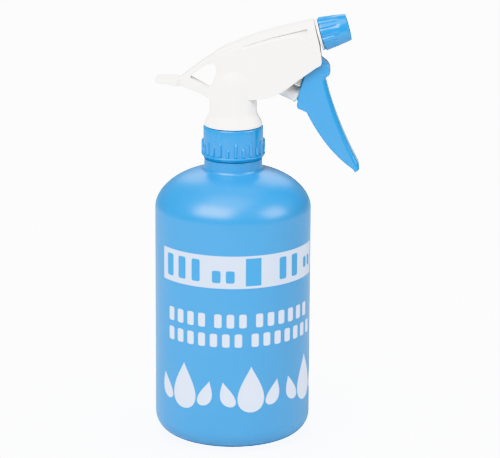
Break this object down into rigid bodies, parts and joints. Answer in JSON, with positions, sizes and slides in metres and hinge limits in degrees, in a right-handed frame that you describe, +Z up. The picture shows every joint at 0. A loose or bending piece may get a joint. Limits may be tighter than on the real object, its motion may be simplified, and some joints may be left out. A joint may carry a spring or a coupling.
{
  "type": "trigger spray bottle",
  "caption": "Round-shouldered plastic bottle with a ribbed screw closure and a trigger spray head with a fluted adjustable nozzle.",
  "frame": {"origin": "middle of the bottle's base, on the surface that it stands on", "axes": "+Z up along the bottle's axis, +X towards the nozzle and trigger, +Y to the left of the spray direction"},
  "size_m": [0.1026, 0.0786, 0.2163],
  "materials": {
    "bottle_blue": "satin light blue",
    "trim_blue": "semi-gloss blue",
    "head_white": "semi-gloss off-white",
    "natural_plastic": "natural translucent white, modelled opaque",
    "seal_grey": "soft grey elastomer",
    "spring_steel": "bright stainless wire and ball"
  },
  "bodies": {
    "bottle": {"bottle": "bottle_blue"},
    "head": {"pump_body": "natural_plastic", "shroud": "head_white", "neck_gasket": "seal_grey", "tube_retainer": "natural_plastic", "dip_tube": "natural_plastic", "discharge_barrel": "head_white", "swirl_plug": "natural_plastic", "return_spring": "spring_steel", "outlet_spring": "spring_steel"},
    "collar": {"closure_collar": "trim_blue"},
    "trigger": {"trigger": "trim_blue"},
    "piston": {"piston": "head_white", "vent_seal": "seal_grey", "pressure_seal": "seal_grey"},
    "nozzle_carrier": {"nozzle_seal": "seal_grey"},
    "nozzle_cap": {"nozzle_cap": "trim_blue"},
    "inlet_ball": {"inlet_ball": "spring_steel"},
    "outlet_valve": {"outlet_valve": "natural_plastic"}
  },
  "joints": [
    {"name": "head_lift", "type": "slide", "parent": "bottle", "child": "head", "axis": [0, 0, 1], "range_m": [0, 0.00847]},
    {"name": "collar_turn", "type": "hinge", "parent": "head", "child": "collar", "pos_m": [0, 0, 0.1513], "axis": [0, 0, 1], "range_deg": [0, 720]},
    {"name": "trigger_squeeze", "type": "hinge", "parent": "head", "child": "trigger", "pos_m": [0.0426, 0, 0.19], "axis": [0, 1, 0], "range_deg": [0, 24]},
    {"name": "piston_stroke", "type": "slide", "parent": "head", "child": "piston", "axis": [-0.9135, 0, 0.4067], "range_m": [0, 0.00711], "stiffness_N_per_m": 620, "springref_m": -0.006, "deforming": ["return_spring"]},
    {"name": "nozzle_advance", "type": "slide", "parent": "head", "child": "nozzle_carrier", "axis": [0.9613, 0, 0.2756], "range_m": [0, 0.002]},
    {"name": "nozzle_turn", "type": "hinge", "parent": "nozzle_carrier", "child": "nozzle_cap", "pos_m": [0.0437, 0, 0.206], "axis": [0.9613, 0, 0.2756], "range_deg": [0, 360]},
    {"name": "inlet_ball_lift", "type": "slide", "parent": "head", "child": "inlet_ball", "axis": [0, 0, 1], "range_m": [0, 0.0012]},
    {"name": "outlet_valve_open", "type": "slide", "parent": "head", "child": "outlet_valve", "axis": [0.9613, 0, 0.2756], "range_m": [0, 0.001], "stiffness_N_per_m": 20, "springref_m": -0.002, "deforming": ["outlet_spring"]}
  ],
  "couplings": [
    {"joint": "collar_turn", "follows": "head_lift", "rad_per_m": 1484.3},
    {"joint": "trigger_squeeze", "follows": "piston_stroke", "rad_per_m": 58.9},
    {"joint": "nozzle_turn", "follows": "nozzle_advance", "rad_per_m": 3141.6}
  ]
}
